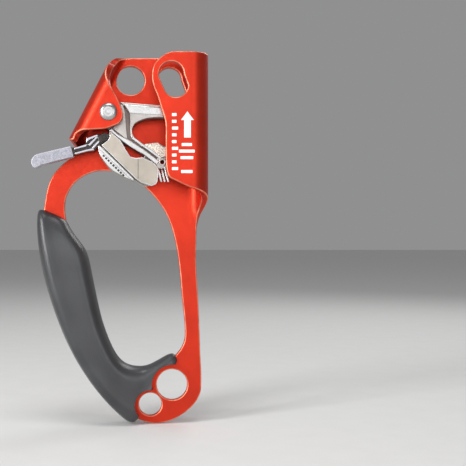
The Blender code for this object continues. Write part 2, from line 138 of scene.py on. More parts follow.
def surface(
    name,
    colour,
    roughness,
    metallic,
    grain=0.0,
    grain_scale=2500,
    patch=0.0,
    uneven=0.05,
    patch_scale=60,
    wear_and_highlight=None,
):
    """A Principled material: its colour drifts in patches, its roughness in finer ones, a fine bump is its
    grain, and the lighter edge colour shows in breaks along the rounded edges, where the attribute
    wear_and_highlight_mask is high: partly edge wear, partly a painted highlight along the edges."""
    made = bpy.data.materials.new(name)
    made.use_nodes = True
    nodes = made.node_tree.nodes
    link = made.node_tree.links.new
    shader = nodes["Principled BSDF"]
    shader.inputs["Metallic"].default_value = metallic
    where = nodes.new("ShaderNodeTexCoord")

    def noise(scale, detail):
        texture = nodes.new("ShaderNodeTexNoise")
        texture.inputs["Scale"].default_value = scale
        texture.inputs["Detail"].default_value = detail
        link(where.outputs["Object"], texture.inputs["Vector"])
        return texture.outputs["Fac"]

    def remapped(value, low, high, to_low, to_high):
        node = nodes.new("ShaderNodeMapRange")
        node.inputs["From Min"].default_value = low
        node.inputs["From Max"].default_value = high
        node.inputs["To Min"].default_value = to_low
        node.inputs["To Max"].default_value = to_high
        link(value, node.inputs["Value"])
        return node.outputs["Result"]

    def mixed(share, first, second):
        node = nodes.new("ShaderNodeMix")
        node.data_type = "RGBA"
        link(share, node.inputs[0])
        for socket, value in ((node.inputs[6], first), (node.inputs[7], second)):
            if isinstance(value, tuple):
                socket.default_value = (*value, 1)
            else:
                link(value, socket)
        return node.outputs[2]

    dark = tuple(c * (1 - patch) for c in colour)
    light = tuple(min(c * (1 + patch), 1) for c in colour)
    tint = mixed(remapped(noise(patch_scale, 5), 0.35, 0.65, 0, 1), dark, light)
    # The lighter edge colour: partly edge wear, partly a painted highlight along the rounded edges.
    if wear_and_highlight:
        edge = nodes.new("ShaderNodeAttribute")
        edge.attribute_name = "wear_and_highlight_mask"
        breaks = nodes.new("ShaderNodeMath")
        breaks.operation = "MULTIPLY"
        link(edge.outputs["Fac"], breaks.inputs[0])
        link(remapped(noise(WEAR_AND_HIGHLIGHT_SCALE, 4), 0.3, 0.6, 0.35, 0.9), breaks.inputs[1])
        tint = mixed(breaks.outputs[0], tint, wear_and_highlight)
    link(tint, shader.inputs["Base Color"])
    gloss = remapped(noise(GLOSS_SCALE, 6), 0.3, 0.7, max(roughness - uneven, 0.02), roughness + uneven)
    link(gloss, shader.inputs["Roughness"])
    if grain:
        bump = nodes.new("ShaderNodeBump")
        bump.inputs["Strength"].default_value = grain
        bump.inputs["Distance"].default_value = GRAIN_DEPTH
        link(noise(grain_scale, 3), bump.inputs["Height"])
        link(bump.outputs["Normal"], shader.inputs["Normal"])
    return made


# --- Outlines ---------------------------------------------------------------------------------------------


def circle(centre, radius, start=0, end=360, steps=48):
    angles = [math.radians(start + (end - start) * i / steps) for i in range(steps + 1)]
    made = [(centre[0] + radius * math.cos(a), centre[1] + radius * math.sin(a)) for a in angles]
    return made[:-1] if end - start == 360 else made


def smooth(points, steps=6, closed=False):
    """A Catmull-Rom curve through the points."""
    count = len(points)
    made = []
    for i in range(count if closed else count - 1):
        if closed:
            a, b, c, d = (Vector(points[(i + k) % count]) for k in (-1, 0, 1, 2))
        else:
            a, b, c, d = (Vector(points[min(max(i + k, 0), count - 1)]) for k in (-1, 0, 1, 2))
        for step in range(steps):
            t = step / steps
            bend = (2 * a - 5 * b + 4 * c - d) * t * t + (3 * b - a - 3 * c + d) * t**3
            made.append(tuple(b + 0.5 * ((c - a) * t + bend)))
    return made if closed else made + [tuple(points[-1])]


def filleted(points, radius, steps=5):
    """A closed polygon with each corner rounded to about the radius."""
    made = []
    count = len(points)
    for i in range(count):
        before, corner, after = (Vector(points[(i + k) % count]) for k in (-1, 0, 1))
        back = before - corner
        on = after - corner
        turn = math.pi - back.angle(on)
        if turn < 0.12:
            made.append(tuple(corner))
            continue
        reach = min(radius * math.tan(turn / 2), back.length * 0.48, on.length * 0.48)
        start = corner + back.normalized() * reach
        end = corner + on.normalized() * reach
        for step in range(steps + 1):
            t = step / steps
            made.append(tuple(start * (1 - t) ** 2 + corner * 2 * t * (1 - t) + end * t * t))
    return made


def area(outline):
    return sum(a[0] * b[1] - b[0] * a[1] for a, b in zip(outline, outline[1:] + outline[:1])) / 2


def without_repeats(outline, least=0.02):
    made = []
    for point in outline:
        if not made or (Vector(point) - Vector(made[-1])).length > least:
            made.append(point)
    if (Vector(made[0]) - Vector(made[-1])).length <= least:
        made.pop()
    return made


def outward(outline):
    """At each point, the mitred direction away from the material, which lies on the left."""
    made = []
    count = len(outline)
    for i in range(count):
        here = Vector(outline[i])
        back = (here - Vector(outline[i - 1])).normalized()
        on = (Vector(outline[(i + 1) % count]) - here).normalized()
        normal = Vector((back.y + on.y, -back.x - on.x))
        normal = normal.normalized() if normal.length > 1e-6 else Vector((back.y, -back.x))
        made.append((normal, min(1 / max(normal.dot(Vector((back.y, -back.x))), 0.5), 2.0)))
    return made


# --- Meshes -----------------------------------------------------------------------------------------------


def rounded_slab(loops, front, rear, rounding, steps=4, bm=None, look=0):
    """A slab between two Y values from outlines of (X, Z), the first its outside and the rest holes, with
    round edges. Each vertex keeps its own normal, and its share of the lighter edge colour, highest half way
    round a rounded edge: partly edge wear, partly a painted highlight."""
    bm = bm or new_bmesh()
    normal_of = bm.verts.layers.float_vector["flat_normal"]
    wear_and_highlight_of = bm.verts.layers.float["wear_and_highlight_mask"]
    rounding = min(rounding, (rear - front) * 0.49)
    caps = ([], [])
    made = []
    for number, loop in enumerate(loops):
        loop = without_repeats(loop)
        if (area(loop) < 0) == (number == 0):
            loop = loop[::-1]
        normals = outward(loop)
        rings = []
        profile = [(math.pi / 2 * i / steps, -1) for i in range(steps + 1)]
        profile += [(math.pi / 2 * (steps - i) / steps, 1) for i in range(steps + 1)]
        for angle, side in profile:
            inset = rounding * (1 - math.sin(angle))
            depth = rounding * (1 - math.cos(angle))
            y = front + depth if side < 0 else rear - depth
            ring = []
            for (x, z), (normal, mitre) in zip(loop, normals):
                vert = bm.verts.new((x - normal.x * inset * mitre, y, z - normal.y * inset * mitre))
                flare = math.sin(angle)
                vert[normal_of] = (normal.x * flare, side * math.cos(angle), normal.y * flare)
                # Highest half way round a rounded edge, where the lighter edge colour goes: partly edge wear,
                # partly a painted highlight.
                vert[wear_and_highlight_of] = math.sin(2 * angle)
                ring.append(vert)
            rings.append(ring)
        for a, b in zip(rings, rings[1:]):
            for i in range(len(a)):
                j = (i + 1) % len(a)
                made.append(bm.faces.new((a[i], a[j], b[j], b[i])))
        caps[0].append(rings[0])
        caps[1].append(rings[-1])
    for rings in caps:
        flat = [v for ring in rings for v in ring]
        for triangle in tessellate_polygon([[Vector((v.co.x, v.co.z, 0)) for v in ring] for ring in rings]):
            corners = [flat[i] for i in triangle]
            if (corners[1].co - corners[0].co).cross(corners[2].co - corners[0].co).length > 1e-9:
                made.append(bm.faces.new(corners))
    for face in made:
        face.material_index = look
        face.normal_update()
        if face.normal.dot(sum((vert[normal_of] for vert in face.verts), Vector((0, 0, 0)))) < 0:
            face.normal_flip()
    return bm


def new_bmesh():
    bm = bmesh.new()
    bm.verts.layers.float_vector.new("flat_normal")
    bm.verts.layers.float.new("wear_and_highlight_mask")
    return bm


def own_normals(mesh, normals):
    mesh.shade_smooth()
    mesh.normals_split_custom_set_from_vertices([tuple(n) for n in normals])


def add_piece(name, bm, looks, body, *nodes, slot):
    """A finished piece from a bmesh in millimetres, riding on a body, in place of any CAD nodes named."""
    layer = bm.verts.layers.float_vector.get("flat_normal")
    normals = [vert[layer].copy() for vert in bm.verts] if layer else None
    bmesh.ops.scale(bm, vec=(MM, MM, MM), verts=bm.verts)
    mesh = bpy.data.meshes.new(name)
    bm.to_mesh(mesh)
    bm.free()
    for look in looks if isinstance(looks, (list, tuple)) else [looks]:
        mesh.materials.append(look)
    if normals:
        own_normals(mesh, normals)
    else:
        mesh.shade_smooth()
        mesh.set_sharp_from_angle(angle=SHARP)
    obj = bpy.data.objects.new(name, mesh)
    bpy.context.scene.collection.objects.link(obj)
    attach(obj, body)
    if nodes:
        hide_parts(*nodes)


def turned_mesh(centre, profile, sides=96, closed=False):
    """A turned bmesh about the Y line through (X, Z). The profile is (radius, Y) points."""
    bm = bmesh.new()
    rings = []
    for radius, y in profile:
        if radius < 1e-4:
            rings.append([bm.verts.new((centre[0], y, centre[1]))])
            continue
        rings.append([bm.verts.new((x, y, z)) for x, z in circle(centre, radius, steps=sides)])
    pairs = list(zip(rings, rings[1:]))
    if closed:
        pairs.append((rings[-1], rings[0]))
    for a, b in pairs:
        for i in range(sides):
            j = (i + 1) % sides
            corners = [a[i % len(a)], a[j % len(a)], b[j % len(b)], b[i % len(b)]]
            corners = [v for k, v in enumerate(corners) if v not in corners[:k]]
            if len(corners) > 2:
                bm.faces.new(corners)
    bmesh.ops.recalc_face_normals(bm, faces=bm.faces)
    return bm


def rounded_ring(inner, outer, depth, rounding):
    """A washer's or a bush's closed profile with rounded corners."""
    corners = [(inner, depth[0]), (outer, depth[0]), (outer, depth[1]), (inner, depth[1])]
    return filleted(corners, rounding, 3)


# --- The folded plate -------------------------------------------------------------------------------------


def fade(height, limits):
    t = min(max((height - limits[0]) / (limits[1] - limits[0]), 0.0), 1.0)
    return t * t * (3 - 2 * t)


def fold_channel(u, w, v):
    angle = min(u / CHANNEL_R, math.pi)
    beyond = max(u - math.pi * CHANNEL_R, 0.0)
    reach = CHANNEL_R + v
    return Vector((reach * math.sin(angle) - beyond, reach * math.cos(angle), w))


def fold_edge(u, w, v, s):
    reach = EDGE_R + v
    quarter = EDGE_R * math.pi / 2
    first = min(s, quarter) / EDGE_R
    web = min(max(s - quarter, 0.0), EDGE_WEB)
    second = min(max(s - quarter - EDGE_WEB, 0.0), quarter) / EDGE_R
    beyond = max(s - 2 * quarter - EDGE_WEB, 0.0)
    out = reach * (math.sin(first) * math.cos(second)) - beyond
    y = BACK_Y - EDGE_R + reach * (math.cos(first) - math.sin(second)) - web
    base = Vector((u, w)) + (out - s) * EDGE_OUTWARD
    return Vector((base.x + EDGE_TURN * max(EDGE_TURN_Z - w, 0.0), y, base.y))


def folded(u, w, v):
    """Where the flat sheet's point (u, w), v behind its middle, lies once both folds are made."""
    flat = Vector((u, BACK_Y + v, w))
    if u > 0:
        return flat.lerp(fold_channel(u, w, v), fade(w, CHANNEL_FADE))
    s = (Vector((u, w)) - EDGE_POINT).dot(EDGE_OUTWARD) + EDGE_OUT
    if s > 0:
        return flat.lerp(fold_edge(u, w, v, s), fade(w, EDGE_FADE))
    return flat


def channel_flap(x, z):
    """The flat sheet's point that ends up at (X, Z) on the front of the rope channel."""
    if x <= 0:
        return (math.pi * CHANNEL_R - x, z)
    return (CHANNEL_R * (math.pi - math.asin(min(x / CHANNEL_OUT, 1.0))), z)


def edge_flap(x, z):
    """The flat sheet's point that ends up at (X, Z) on the front of the slanted fold."""
    inside = (EDGE_POINT - Vector((x, z))).dot(EDGE_OUTWARD)
    turn = math.acos(max(1 - inside / EDGE_OUT, 0.0))
    s = EDGE_R * (math.pi / 2 + turn) + EDGE_WEB + max(inside - EDGE_OUT, 0.0)
    return tuple(Vector((x, z)) + (inside - EDGE_OUT + s) * EDGE_OUTWARD)


def plate_outline():
    """The flat sheet's outline, from the channel's top edge round by the left, in (u, w)."""
    flap_side = [(-12.3, 21), (-14.6, 29), (-16.2, 34), (-18.2, 39), (-19.0, 44), (-18.2, 49.2), (-15.4, 53)]
    flap_foot = [(-7.4, -8.4), (-10.2, -6.8), (-11.5, -3.4), (-12.0, 2), (-12.1, 12)]
    flap_top = [(-11.0, 55.9), (-7.0, TOP_Z), (-1.0, TOP_Z)]
    channel = [channel_flap(x, z) for x, z in flap_foot + flap_side + flap_top] + [(0, TOP_Z)]
    edge_side = [(-42.5, 46.6), (-40.4, 39.8), (-37.4, 34.6), (-34.6, 28.6), (-33.6, 24)]
    edge_side += [(-35.4, 20.5), (-39, 18.8)]
    edge_foot = [(-43, 17.5), (-49, 17.1), (-54.6, 16.8), (-57.8, 15.2), (-59.4, 12.4)]
    edge = [edge_flap(x, z) for x, z in edge_side + edge_foot]
    shoulder = [(-14.0, TOP_Z), (-34.0, TOP_Z), (-38.6, 55.9), (-42.4, 54.6), (-46.6, 54.2)]
    limb = [(-66.2, 15.0), (-63.2, 11.4), (-60.6, 7.8), (-59.4, 5.2), (-63.2, 2.8), (-69.2, -3.2)]
    limb += [(-72.6, -10), (-74.3, -18), (-75.4, -28)]
    under_grip = [(-74.8, -45), (-72.6, -59), (-66.6, -77), (-58, -97), (-46, -115), (-34, -127.5)]
    under_grip += [(-26, -132.4)]
    foot = [(-17, -134.8), (-7, -132.7), (2, -126.7), (6.8, -119.6), (7.6, -111), (7, -97), (6.2, -75)]
    side = [(4.9, -53), (4.9, -42), (5.3, -32), (6.8, -25.8), (9.4, -22), (13.4, -18), (18, -15.3)]
    side += [(22.6, -13.4)]
    foot_of_flap = [channel_flap(0.5, -12.0), channel_flap(-3.4, -10.4)]
    points = shoulder + edge + limb + under_grip + foot + side + foot_of_flap + channel
    return [(u, min(w, TOP_Z)) for u, w in smooth(points, 6, closed=True)]


def hand_opening():
    top = [(-50, -3.3), (-44, -2.4), (-37, -3.2), (-28, -6.7), (-20, -12.8), (-12.2, -22.6), (-7.4, -34)]
    right = [(-4.4, -49), (-2.6, -68), (-0.9, -86), (-2.2, -94), (-7, -100.3)]
    bottom = [(-13, -104), (-20, -106.6), (-29, -107), (-36, -103.6), (-41, -96), (-46, -85), (-50.4, -70)]
    left = [(-54.6, -53), (-60.4, -38), (-63.6, -27), (-63.7, -18), (-61, -11.5), (-56.4, -6.6)]
    return smooth(top + right + bottom + left, 6, closed=True)


def slot_outline():
    upper, lower = SLOT_LOBES
    return circle(upper[:2], upper[2], 0, 200, 28) + circle(lower[:2], lower[2], 200, 360, 28)


def bend_cuts():
    """Lines of the flat sheet, as (point, normal), that split it where it bends."""
    made = []
    for i in range(round(math.pi / BEND_STEP) + 1):
        made.append((Vector((i * BEND_STEP * CHANNEL_R, 0)), Vector((1, 0))))
    quarter = EDGE_R * math.pi / 2
    start = EDGE_POINT - EDGE_OUTWARD * EDGE_OUT
    for i in range(round(math.pi / 2 / BEND_STEP) + 1):
        s = i * BEND_STEP * EDGE_R
        made.append((start + EDGE_OUTWARD * s, EDGE_OUTWARD))
        made.append((start + EDGE_OUTWARD * (quarter + EDGE_WEB + s), EDGE_OUTWARD))
    for low, high in (CHANNEL_FADE, EDGE_FADE):
        steps = round((high - low) / FADE_STEP)
        made += [(Vector((0, low + (high - low) * i / steps)), Vector((0, 1))) for i in range(steps + 1)]
    return made


def fold(bm):
    """Bends a flat slab, and turns its vertices' normals with it."""
    for point, normal in bend_cuts():
        plane = {"plane_co": (point.x, 0, point.y), "plane_no": (normal.x, 0, normal.y)}
        bmesh.ops.bisect_plane(bm, geom=bm.verts[:] + bm.edges[:] + bm.faces[:], dist=1e-5, **plane)
    bmesh.ops.triangulate(bm, faces=[f for f in bm.faces if len(f.verts) > 4])
    layer = bm.verts.layers.float_vector["flat_normal"]
    step = 1e-3
    for vert in bm.verts:
        u, v, w = vert.co
        along_u = (folded(u + step, w, v) - folded(u - step, w, v)).normalized()
        along_w = (folded(u, w + step, v) - folded(u, w - step, v)).normalized()
        through = (folded(u, w, v + step) - folded(u, w, v - step)).normalized()
        turned = Matrix((along_u, through, along_w)).inverted_safe() @ vert[layer]
        vert[layer] = turned.normalized() if turned.length > 1e-6 else through
        vert.co = folded(u, w, v)
    return bm


def frame_plate(look):
    rivet_holes = [circle(c, RIVET_R + RIVET_GAP, steps=32) for c in (CAM_AXIS, edge_flap(*CAM_AXIS))]
    front_slot = [channel_flap(x, z) for x, z in slot_outline()]
    eyes = [circle(eye[:2], eye[2], steps=72) for eye in (TOP_HOLE, LARGE_EYE, SMALL_EYE)]
    loops = [plate_outline(), hand_opening(), slot_outline(), front_slot, *eyes, *rivet_holes]
    bm = fold(rounded_slab(loops, -HALF, HALF, EDGE_ROUND))
    add_piece("folded_plate", bm, look, "frame", "frame_plate", slot="anodised_red")


# --- Printed marks: an arrow for the way up, and plain bars -------------------------------------------------


def printed(name, outline, look):
    flat = [channel_flap(x, z) for x, z in outline]
    bm = fold(rounded_slab([flat], HALF - 0.02, HALF + 0.03, 0.01, 1))
    add_piece(name, bm, look, "frame", slot="anodised_red")


def bar(x0, x1, z0, z1):
    return filleted([(x0, z0), (x1, z0), (x1, z1), (x0, z1)], 0.25, 3)


def printed_marks(look):
    arrow = [(-1.1, 26.2), (-4.4, 21.8), (-2.8, 21.8), (-2.8, 13.0), (0.6, 13.0), (0.6, 21.8), (2.2, 21.8)]
    printed("up_arrow_mark", arrow, look)
    for i, (half, top) in enumerate(((2.6, 10.2), (4.0, 6.9), (3.2, 3.6), (2.9, -3.4))):
        printed(f"bar_mark_{i}", bar(-1.4 - half, -1.4 + half, top - 1.5, top), look)
    for i in range(9):
        low = -3.4 + 3.4 * i
        printed(f"gauge_mark_{i}", bar(-8.9, -6.6 if i % 3 else -5.8, low, low + 1.5), look)


# --- The grip ---------------------------------------------------------------------------------------------


def grip_stations():
    """(outer X, Z, inner X, Z, half thickness) down the limb and round its foot."""
    limb = [(-77.2, -21.6, -63.4, -27.4, 5.4), (-78.5, -24.8, -62.2, -30.6, 8.8)]
    limb += [(-78.6, -32, -59.8, -34.6, 11), (-78, -40, -56, -39.4, 12.2), (-76.9, -48, -51.8, -45, 12.6)]
    limb += [(-74.6, -60, -49.8, -55.6, 12.6)]
    limb += [(-70.6, -72.6, -47.4, -67.5, 12.6), (-65.4, -87, -44.6, -80.6, 12.6)]
    limb += [(-58.6, -101, -41, -90.4, 12.6), (-50.4, -113.6, -37.4, -98.4, 12.4)]
    foot = [(-42.6, -123.2, -33.2, -103.2, 11.6), (-35.4, -130.4, -28.4, -104.8, 10.4)]
    foot += [(-28.4, -136.0, -24.6, -104.9, 9), (-24.6, -131.0, -22.6, -104.8, 7.8)]
    foot += [(-20.6, -122.4, -20.2, -104.3, 7), (-16.4, -116.8, -17.4, -103.1, 6.6)]
    foot += [(-12.6, -110.0, -14.0, -101.2, 6.2), (-3.7, -102.8, -6.2, -96.7, 4.8)]
    return limb + foot


def grip_section(station):
    """A section with a crest near its outer edge. Its shape is in shares of the half width and thickness."""
    ox, oz, ix, iz, half = station
    outer = Vector((ox, BACK_Y, oz))
    inner = Vector((ix, BACK_Y, iz))
    middle = (outer + inner) / 2
    across = (outer - inner) / 2
    front = [(1.0, 0.0), (1.0, 0.3), (0.95, 0.58), (0.88, 0.78), (0.8, 0.88), (0.56, 1.0), (0.4, 0.97)]
    front += [(0.1, 0.92), (-0.34, 0.92), (-0.62, 0.9), (-0.86, 0.7), (-0.97, 0.34)]
    shape = front + [(-1.0, 0.0)] + [(a, -b) for a, b in reversed(front[1:])]
    return [middle + across * a + Vector((0, half * b, 0)) for a, b in shape]


def grip(look):
    """A loft, made finer, then pushed clear of both eyes so that a ring of the plate shows round them.
    It is one closed form with no cavity, and the plate runs through it."""
    bm = bmesh.new()
    rings = [[bm.verts.new(p) for p in grip_section(station)] for station in grip_stations()]
    for a, b in zip(rings, rings[1:]):
        for i in range(len(a)):
            j = (i + 1) % len(a)
            bm.faces.new((a[i], a[j], b[j], b[i]))
    bm.faces.new(rings[0])
    bm.faces.new(rings[-1])
    bmesh.ops.recalc_face_normals(bm, faces=bm.faces)
    coarse = bpy.data.meshes.new("coarse_grip")
    bm.to_mesh(coarse)
    bm.free()
    cage = bpy.data.objects.new("coarse_grip", coarse)
    bpy.context.scene.collection.objects.link(cage)
    cage.modifiers.new("soften", "SUBSURF").levels = 3
    graph = bpy.context.evaluated_depsgraph_get()
    fine = bmesh.new()
    fine.from_mesh(cage.evaluated_get(graph).to_mesh())
    bpy.data.objects.remove(cage)
    for vert in fine.verts:
        for x, z, radius in ((*LARGE_EYE[:2], GRIP_CLEAR[0]), (*SMALL_EYE[:2], GRIP_CLEAR[1])):
            out = Vector((vert.co.x - x, vert.co.z - z))
            if out.length < radius:
                out = out.normalized() * radius
                vert.co.x = x + out.x
                vert.co.z = z + out.y
    add_piece("moulded_grip", fine, look, "frame", "grip_overmould", slot="grip_rubber")


# --- The cam ----------------------------------------------------------------------------------------------


def cam_face(degrees):
    """A point on the gripping spiral, degrees below the horizontal."""
    a = math.radians(degrees)
    reach = CAM_R0 * math.exp(CAM_RISE * a)
    return (CAM_AXIS[0] + reach * math.cos(a), CAM_AXIS[1] - reach * math.sin(a))


def cam_outline():
    hub = circle(CAM_AXIS, HUB_R, 60, 250, 36)
    rim = [(-40.6, 17.8), (-34.8, 12.5), (-28.4, 8.1), (-22.4, 4.5), (-24.4, 1.4), (-26, -1.2)]
    boss = circle(CATCH_AXIS, 4.7, 175, 325, 20)
    notch = [(-16.9, -2.3), (-9.4, -2.2), (-8.0, -7.4)]
    steps = 40
    face = [cam_face(CAM_FACE[1] + (CAM_FACE[0] - CAM_FACE[1]) * i / steps) for i in range(steps + 1)]
    return hub + rim + boss + notch + face + [(-14.9, 30.3)]


def cam_window():
    left = [(-17, 11.4), (-20, 10.7), (-23.6, 10.5), (-27, 13), (-28.8, 17), (-27.2, 21), (-22.5, 23.2)]
    left.append((-17, 24))
    return smooth(left, 6) + [(-12, 24), (-10.8, 22.4), (-10.6, 11.4), (-12, 9.4)]


def spike(bm, degrees, y):
    """One tooth of the gripping face, leaning down the rope."""
    base = Vector((*cam_face(degrees), 0)).xzy + Vector((0, y, 0))
    out = (base - Vector((CAM_AXIS[0], y, CAM_AXIS[1]))).normalized()
    lean = (out + Vector((0, 0, -0.55))).normalized()
    place = Matrix.Translation(base + lean * 0.15) @ lean.to_track_quat("Z", "Y").to_matrix().to_4x4()
    sizes = {"radius1": 0.9, "radius2": 0.12, "depth": 2.3}
    bmesh.ops.create_cone(bm, cap_ends=True, segments=16, matrix=place, **sizes)


def cam(cast, sandy, bright, shaded_cast):
    """The casting: a thin web, with the bars, the window's border and the pad standing out from it."""
    bm = new_bmesh()
    pad_hole = circle(PAD_HOLE, PAD_HOLE_R, steps=24)
    holes = [cam_window(), circle(CAM_AXIS, CAM_BORE_R), circle(CATCH_AXIS, CATCH_BORE_R, steps=32), pad_hole]
    # The web, recessed behind the bars, takes the darker reddish-brown cast: painted shade with a painted
    # reflection of the red plate.
    rounded_slab([filleted(cam_outline(), 0.5, 3), *holes], *CAM_WEB, 0.35, bm=bm, look=3)
    rounded_slab([circle(CAM_AXIS, HUB_R), circle(CAM_AXIS, 6.1)], -4.4, CAM_ROOT, 0.25, bm=bm)
    web = [(-39.0, 18.4), (-35.4, 22.6), (-35.0, 31.4), (-33.6, 30.6), (-32.7, 27.6), (-32.3, 24)]
    web += [(-31.9, 18), (-31.3, 12.6)]
    rounded_slab([filleted(web, 0.4, 3)], -3.3, CAM_ROOT, 0.3, bm=bm)
    ledge = [(-35.2, 31.9), (-14.0, 30.2), (-13.4, 27.0), (-32.0, 28.6)]
    rounded_slab([filleted(ledge, 0.3, 3)], -3.9, CAM_ROOT, 0.35, bm=bm)
    top_bar = [(-33.6, 30.8), (-13.0, 29.1), (-12.4, 25.0), (-30.4, 26.0), (-31.8, 28.4)]
    rounded_slab([filleted(top_bar, 0.7)], -4.4, CAM_ROOT, 0.6, bm=bm, look=2)
    border = [(-12.6, 25.6), (-30.2, 26.2), (-29.9, 20), (-29.5, 14.0), (-24.0, 9.0)]
    inside = [(-23.5, 10.35), (-27.1, 12.9), (-28.95, 17), (-27.3, 21.1), (-22.5, 23.35), (-17, 24.15)]
    inside.append((-12.2, 24.2))
    rounded_slab([border + smooth(inside, 5)], -4.0, CAM_ROOT, 0.3, bm=bm)
    upper = [(-39.3, 18.6), (-35.6, 15.2), (-30.2, 12.4), (-24.8, 9.0), (-19.6, 5.3), (-15.0, 1.6)]
    lower = [(-16.4, -0.6), (-22.6, 4.6), (-28.4, 8.0), (-34.8, 12.3), (-41.0, 17.6)]
    rounded_slab([smooth(upper, 4) + smooth(lower, 4)], -4.4, CAM_ROOT, 0.6, bm=bm, look=2)
    band = [(-29.6, 13.4), (-24.6, 9.9), (-19.4, 6.2), (-14.6, 2.5), (-13.4, 3.4), (-18.6, 7.4)]
    band += [(-23.4, 10.6), (-28.2, 14.2)]
    rounded_slab([filleted(band, 0.4, 3)], -4.2, CAM_ROOT, 0.4, bm=bm, look=2)
    pad = [(-23.2, 9.8), (-21.9, 10.6), (-15.65, 11.2), (-12.6, 9.0), (-6.0, 9.0), (-4.4, 4.0)]
    pad += [(-12.0, 3.6), (-15.2, 3.2)]
    rounded_slab([filleted(pad, 0.7)], -3.9, CAM_ROOT, 0.7, bm=bm, look=1)
    foot = [(-16.0, 3.4), (-8.0, 3.6), (-8.4, -2.0), (-16.8, -2.2)]
    rounded_slab([filleted(foot, 0.5), pad_hole], -3.6, CAM_ROOT, 0.4, bm=bm)
    rounded_slab([circle(PAD_HOLE, 1.9), circle(PAD_HOLE, 1.05)], -4.1, CAM_ROOT, 0.35, bm=bm)
    for x in (-15.7, -13.9, -12.1):
        right = [(x + 0.25, -1.6), (x + 1.5, -5.0), (x + 2.3, -9.0)]
        fin = [(x - 0.25, -1.6), *right, (x + 1.3, -9.0), (x + 0.1, -5.0)]
        rounded_slab([filleted(fin, 0.25, 3)], -4.0, -1.6, 0.35, bm=bm, look=2)
    add_piece("cam_casting", bm, [cast, sandy, bright, shaded_cast], "cam", "cam", slot="cast_steel")
    teeth = bmesh.new()
    for row in range(TOOTH_ROWS):
        degrees = CAM_FACE[0] + 2 + (CAM_FACE[1] - CAM_FACE[0] - 4) * row / (TOOTH_ROWS - 1)
        for y in TOOTH_COLUMNS:
            spike(teeth, degrees, y + TOOTH_SHIFT + (row % 2) * TOOTH_SHIFT)
    add_piece("cam_teeth", teeth, cast, "cam", slot="cast_steel")


# --- Small turned parts and springs ------------------------------------------------------------------------


def tube(points, radius, sides=12):
    """A closed wire along the points."""
    bm = bmesh.new()
    rings = []
    side = Vector((0, 1, 0))
    for i, point in enumerate(points):
        along = (points[min(i + 1, len(points) - 1)] - points[max(i - 1, 0)]).normalized()
        side = (side - along * side.dot(along)).normalized()
        other = along.cross(side)
        turns = [2 * math.pi * k / sides for k in range(sides)]
        ring = [point + (side * math.cos(t) + other * math.sin(t)) * radius for t in turns]
        rings.append([bm.verts.new(corner) for corner in ring])
    for a, b in zip(rings, rings[1:]):
        for i in range(sides):
            j = (i + 1) % sides
            bm.faces.new((a[i], a[j], b[j], b[i]))
    bm.faces.new(rings[0])
    bm.faces.new(rings[-1])
    bmesh.ops.recalc_face_normals(bm, faces=bm.faces)
    return bm


def spring(name, centre, radius, wire, depth, legs, look, body, node):
    """A torsion spring. Each leg is (angle of the coil's end in degrees, reach)."""
    (start, first_reach), (end, last_reach) = legs
    steps = round((end - start) / 10)
    coil = []
    for i in range(steps + 1):
        a = math.radians(start + (end - start) * i / steps)
        y = depth[0] + (depth[1] - depth[0]) * i / steps
        coil.append(Vector((centre[0] + radius * math.cos(a), y, centre[1] + radius * math.sin(a))))
    first = coil[0] + (coil[0] - coil[1]).normalized() * first_reach
    last = coil[-1] + (coil[-1] - coil[-2]).normalized() * last_reach
    add_piece(name, tube([first, *coil, last], wire), look, body, node, slot="bright_steel")


def round_parts(bright, bronze, dark):
    dome = [(0, -11.9), (0.8, -11.92), (1.6, -12.05), (2.2, -12.12), (2.9, -11.98), (3.5, -11.72)]
    dome.append((4.0, -11.35))
    head = dome + [(4.35, -10.95), (4.5, -10.55), (RIVET_R, -10.5), (RIVET_R, 11.3), (4.8, 11.35)]
    tail = [(4.75, 12.0), (4.4, 12.5), (3.6, 12.8), (2, 12.9), (0, 12.9)]
    rivet = turned_mesh(CAM_AXIS, head + tail)
    add_piece("axle_rivet", rivet, bright, "frame", "cam_axle_rivet", slot="bright_steel")
    rings = {
        "rivet_washer": ("rear_rivet_washer", 6.4, (10.55, 11.15), bright, "bright_steel"),
        "inner_washer": ("cam_rear_washer", 5.0, (5.35, 6.4), bright, "bright_steel"),
        "axle_bush": ("cam_bush", 4.2, (-6.4, 5.0), bronze, "bush_bronze"),
    }
    for name, (node, outer, depth, look, slot) in rings.items():
        profile = rounded_ring(RIVET_R + 0.3, outer, depth, 0.15)
        add_piece(name, turned_mesh(CAM_AXIS, profile, closed=True), look, "frame", node, slot=slot)
    pins = {
        "catch_pivot_pin": ("catch_pin", CATCH_AXIS, 1.9, (-4.5, 6.3), bright, "cam", "bright_steel"),
        # The lever pin is in near-black steel: painted shade, as on the lever's head.
        "lever_pin": ("lever_rivet", LEVER_RIVET, 1.2, (-4.9, 6.45), dark, "catch", "polished_steel"),
        "tab_cross_pin": ("tab_pin", TAB_PIN, 0.8, (-4.6, 3.45), bright, "catch", "bright_steel"),
    }
    for name, (node, centre, radius, (front, rear), look, body, slot) in pins.items():
        chamfer = radius * 0.2
        inner = radius - chamfer
        profile = [(0, front), (inner, front), (radius, front + chamfer)]
        profile += [(radius, rear - chamfer), (inner, rear), (0, rear)]
        add_piece(name, turned_mesh(centre, profile, 48), look, body, node, slot=slot)
    legs = ((20, 3.0), (1130, 0.6))
    spring("cam_return_spring", CAM_AXIS, 5.0, 0.5, (-6.0, -2.8), legs, bright, "cam", "cam_spring")
    legs = ((200, 1.2), (200 + 3 * 360, 1.2))
    spring("catch_return_spring", CATCH_AXIS, 3.2, 0.4, (2.4, 4.7), legs, bright, "catch", "catch_spring")


# --- The safety catch -------------------------------------------------------------------------------------


